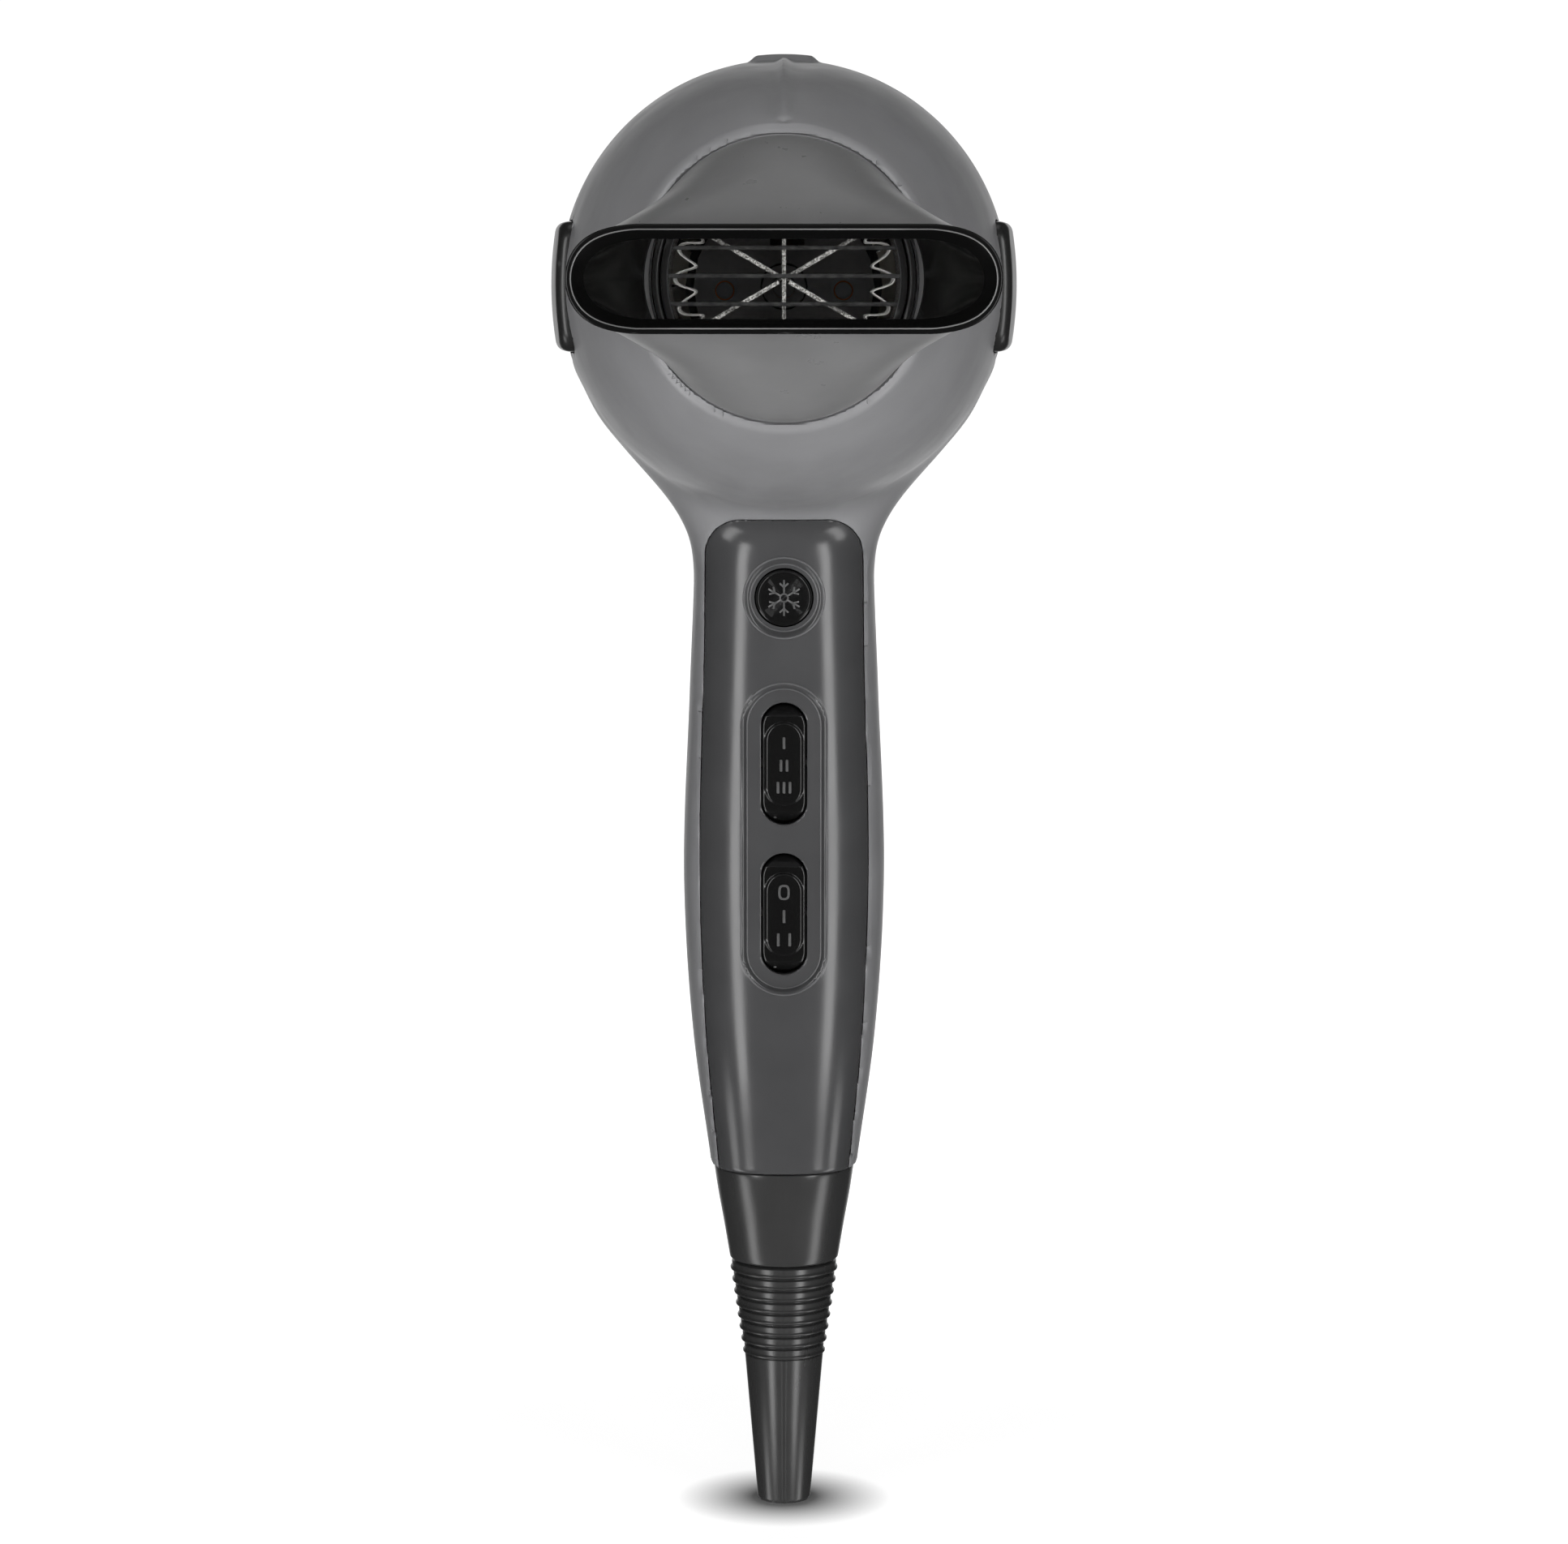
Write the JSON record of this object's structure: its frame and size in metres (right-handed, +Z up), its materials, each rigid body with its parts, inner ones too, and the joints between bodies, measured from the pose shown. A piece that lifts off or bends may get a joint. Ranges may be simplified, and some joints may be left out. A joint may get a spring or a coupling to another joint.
{
  "type": "hair dryer",
  "caption": "Handheld mains hair dryer with a wide concentrator nozzle, rocker switches for heat and speed, a cool-shot button and a ribbed cord boot.",
  "frame": {"origin": "under the middle of the bounding box, on the plane of the cord boot's end face; the dryer stands upright on it", "axes": "+Z up along the handle towards the head, -Y the way the air leaves, +X to the right of someone looking into the nozzle"},
  "size_m": [0.0996, 0.206, 0.3211],
  "materials": {
    "housing_grey": "satin dark grey moulding",
    "cover_graphite": "satin graphite moulding",
    "gloss_black": "polished black moulding",
    "hot_black": "heat-resistant black moulding",
    "rubber_black": "matte moulded rubber",
    "switch_black": "plain black moulding",
    "mica": "speckled layered mica",
    "steel": "bright zinc-plated steel",
    "heating_wire": "bright resistance ribbon",
    "copper": "copper winding and commutator bars",
    "fan_plastic": "natural white nylon",
    "board": "brown phenolic laminate",
    "lead_insulation": "silicone-rubber insulation"
  },
  "bodies": {
    "housing": {"main_housing": "housing_grey", "rear_housing": "housing_grey", "handle_front_cover": "cover_graphite", "side_pad_left": "rubber_black", "side_pad_right": "rubber_black", "cover_screw_upper_left": "steel", "cover_screw_upper_right": "steel", "cover_screw_lower": "steel", "outlet_grille": "hot_black", "mica_sleeve": "mica", "mica_board_front": "mica", "mica_board_middle": "mica", "mica_board_rear": "mica", "heater_coil_front": "heating_wire", "heater_coil_middle": "heating_wire", "heater_coil_rear": "heating_wire", "thermostat": "steel", "thermal_fuse": "steel", "air_funnel": "hot_black", "motor_mount": "hot_black", "motor_can": "steel", "motor_end_front": "steel", "motor_end_rear": "steel", "motor_screw_left": "steel", "motor_screw_right": "steel", "brush_left": "hot_black", "brush_right": "hot_black", "stator_core": "steel", "field_coil_front": "copper", "field_coil_rear": "copper", "bearing_front": "steel", "bearing_rear": "steel", "intake_grille": "hot_black", "heat_rocker_pin": "steel", "heat_switch_body": "switch_black", "speed_rocker_pin": "steel", "speed_switch_body": "switch_black", "cool_switch_body": "switch_black", "control_board": "board", "suppressor_capacitor": "switch_black", "lead_live": "lead_insulation", "lead_neutral": "lead_insulation", "cord_clamp": "switch_black", "cord_collar": "rubber_black", "strain_relief": "rubber_black"},
    "nozzle_ring": {"nozzle_collar": "hot_black"},
    "nozzle": {"nozzle_shell": "housing_grey", "nozzle_duct": "gloss_black"},
    "heat_switch": {"heat_rocker": "gloss_black"},
    "speed_switch": {"speed_rocker": "gloss_black"},
    "cool_shot": {"cool_button": "gloss_black"},
    "filter": {"filter_cap": "housing_grey", "filter_mesh": "steel"},
    "rotor": {"motor_shaft": "steel", "armature": "steel", "commutator": "copper", "fan_impeller": "fan_plastic"}
  },
  "joints": [
    {"name": "nozzle_pull", "type": "slide", "parent": "housing", "child": "nozzle_ring", "axis": [0, -1, 0], "range_m": [0, 0.025]},
    {"name": "nozzle_spin", "type": "hinge", "parent": "nozzle_ring", "child": "nozzle", "pos_m": [0, -0.06, 0.274], "axis": [0, 1, 0], "continuous": true},
    {"name": "heat_tilt", "type": "hinge", "parent": "housing", "child": "heat_switch", "pos_m": [0, 0.0142, 0.1695], "axis": [1, 0, 0], "range_deg": [-7, 7]},
    {"name": "speed_tilt", "type": "hinge", "parent": "housing", "child": "speed_switch", "pos_m": [0, 0.0142, 0.1366], "axis": [1, 0, 0], "range_deg": [-7, 7]},
    {"name": "cool_press", "type": "slide", "parent": "housing", "child": "cool_shot", "axis": [0, 1, 0], "range_m": [0, 0.002], "stiffness_N_per_m": 600, "springref_m": -0.001},
    {"name": "filter_pull", "type": "slide", "parent": "housing", "child": "filter", "axis": [0, 1, 0], "range_m": [0, 0.025]},
    {"name": "rotor_spin", "type": "hinge", "parent": "housing", "child": "rotor", "pos_m": [0, 0.04, 0.2724], "axis": [0, 1, 0], "continuous": true}
  ]
}
